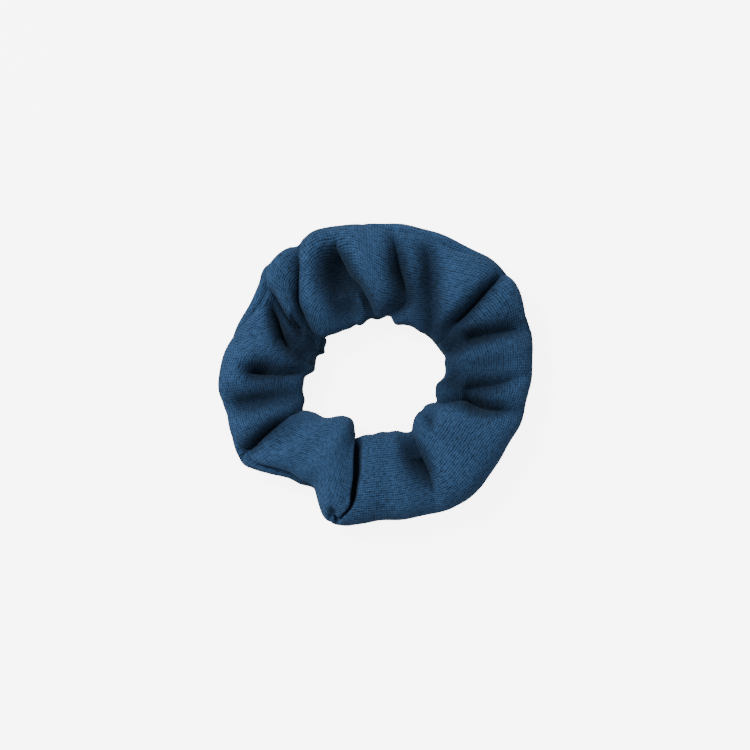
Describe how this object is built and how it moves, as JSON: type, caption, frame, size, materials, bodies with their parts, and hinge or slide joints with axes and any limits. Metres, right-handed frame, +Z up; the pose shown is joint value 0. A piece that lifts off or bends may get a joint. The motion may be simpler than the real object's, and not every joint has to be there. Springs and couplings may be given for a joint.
{
  "type": "scrunchie",
  "caption": "Gathered jersey scrunchie: a hollow cloth tube bunched over a flat elastic ring, with a lapped, hand-sewn closure; the ring stretches open to go round hair.",
  "frame": {"origin": "on the table plane, under the centre of the outline as it lies flat", "axes": "+Z up out of the table, along the ring's hole; +X across the widest part of the ring; the closure is at the front, on the -Y side"},
  "size_m": [0.1101, 0.1065, 0.0209],
  "materials": {
    "jersey": "soft brushed cotton jersey, matt navy",
    "webbing": "flat braided elastic, natural white",
    "sewing_thread": "spun polyester thread, navy"
  },
  "bodies": {
    "closure_start": {"cover_closure_start": "jersey", "elastic_closure_start": "webbing", "seam_thread_closure_start": "sewing_thread", "elastic_join_thread": "sewing_thread", "closing_thread": "sewing_thread"},
    "ring_01": {"cover_01": "jersey", "elastic_01": "webbing", "seam_thread_01": "sewing_thread"},
    "ring_02": {"cover_02": "jersey", "elastic_02": "webbing", "seam_thread_02": "sewing_thread"},
    "ring_03": {"cover_03": "jersey", "elastic_03": "webbing", "seam_thread_03": "sewing_thread"},
    "ring_04": {"cover_04": "jersey", "elastic_04": "webbing", "seam_thread_04": "sewing_thread"},
    "ring_05": {"cover_05": "jersey", "elastic_05": "webbing", "seam_thread_05": "sewing_thread"},
    "ring_06": {"cover_06": "jersey", "elastic_06": "webbing", "seam_thread_06": "sewing_thread"},
    "ring_07": {"cover_07": "jersey", "elastic_07": "webbing", "seam_thread_07": "sewing_thread"},
    "ring_08": {"cover_08": "jersey", "elastic_08": "webbing", "seam_thread_08": "sewing_thread"},
    "ring_09": {"cover_09": "jersey", "elastic_09": "webbing", "seam_thread_09": "sewing_thread"},
    "ring_10": {"cover_10": "jersey", "elastic_10": "webbing", "seam_thread_10": "sewing_thread"},
    "ring_11": {"cover_11": "jersey", "elastic_11": "webbing", "seam_thread_11": "sewing_thread"},
    "closure_end": {"cover_closure_end": "jersey", "elastic_closure_end": "webbing"}
  },
  "joints": [
    {"name": "stretch_01", "type": "slide", "parent": "closure_start", "child": "ring_01", "axis": [0.9962, -0.0872, 0], "range_m": [0, 0.01035], "stiffness_N_per_m": 300},
    {"name": "stretch_02", "type": "slide", "parent": "ring_01", "child": "ring_02", "axis": [0.9063, 0.4226, 0], "range_m": [0, 0.01035], "stiffness_N_per_m": 300},
    {"name": "stretch_03", "type": "slide", "parent": "ring_02", "child": "ring_03", "axis": [0.5736, 0.8192, 0], "range_m": [0, 0.01035], "stiffness_N_per_m": 300},
    {"name": "stretch_04", "type": "slide", "parent": "ring_03", "child": "ring_04", "axis": [0.0872, 0.9962, 0], "range_m": [0, 0.01035], "stiffness_N_per_m": 300},
    {"name": "stretch_05", "type": "slide", "parent": "ring_04", "child": "ring_05", "axis": [-0.4226, 0.9063, 0], "range_m": [0, 0.01035], "stiffness_N_per_m": 300},
    {"name": "stretch_06", "type": "slide", "parent": "ring_05", "child": "ring_06", "axis": [-0.8192, 0.5736, 0], "range_m": [0, 0.01035], "stiffness_N_per_m": 300},
    {"name": "stretch_07", "type": "slide", "parent": "ring_06", "child": "ring_07", "axis": [-0.9962, 0.0872, 0], "range_m": [0, 0.01035], "stiffness_N_per_m": 300},
    {"name": "stretch_08", "type": "slide", "parent": "ring_07", "child": "ring_08", "axis": [-0.9063, -0.4226, 0], "range_m": [0, 0.01035], "stiffness_N_per_m": 300},
    {"name": "stretch_09", "type": "slide", "parent": "ring_08", "child": "ring_09", "axis": [-0.5736, -0.8192, 0], "range_m": [0, 0.01035], "stiffness_N_per_m": 300},
    {"name": "stretch_10", "type": "slide", "parent": "ring_09", "child": "ring_10", "axis": [-0.0872, -0.9962, 0], "range_m": [0, 0.01035], "stiffness_N_per_m": 300},
    {"name": "stretch_11", "type": "slide", "parent": "ring_10", "child": "ring_11", "axis": [0.4226, -0.9063, 0], "range_m": [0, 0.01035], "stiffness_N_per_m": 300},
    {"name": "stretch_12", "type": "slide", "parent": "ring_11", "child": "closure_end", "axis": [0.8192, -0.5736, 0], "range_m": [0, 0.01035], "stiffness_N_per_m": 300}
  ],
  "couplings": [
    {"joint": "stretch_02", "follows": "stretch_01", "ratio": 1},
    {"joint": "stretch_03", "follows": "stretch_01", "ratio": 1},
    {"joint": "stretch_04", "follows": "stretch_01", "ratio": 1},
    {"joint": "stretch_05", "follows": "stretch_01", "ratio": 1},
    {"joint": "stretch_06", "follows": "stretch_01", "ratio": 1},
    {"joint": "stretch_07", "follows": "stretch_01", "ratio": 1},
    {"joint": "stretch_08", "follows": "stretch_01", "ratio": 1},
    {"joint": "stretch_09", "follows": "stretch_01", "ratio": 1},
    {"joint": "stretch_10", "follows": "stretch_01", "ratio": 1},
    {"joint": "stretch_11", "follows": "stretch_01", "ratio": 1},
    {"joint": "stretch_12", "follows": "stretch_01", "ratio": 1}
  ]
}
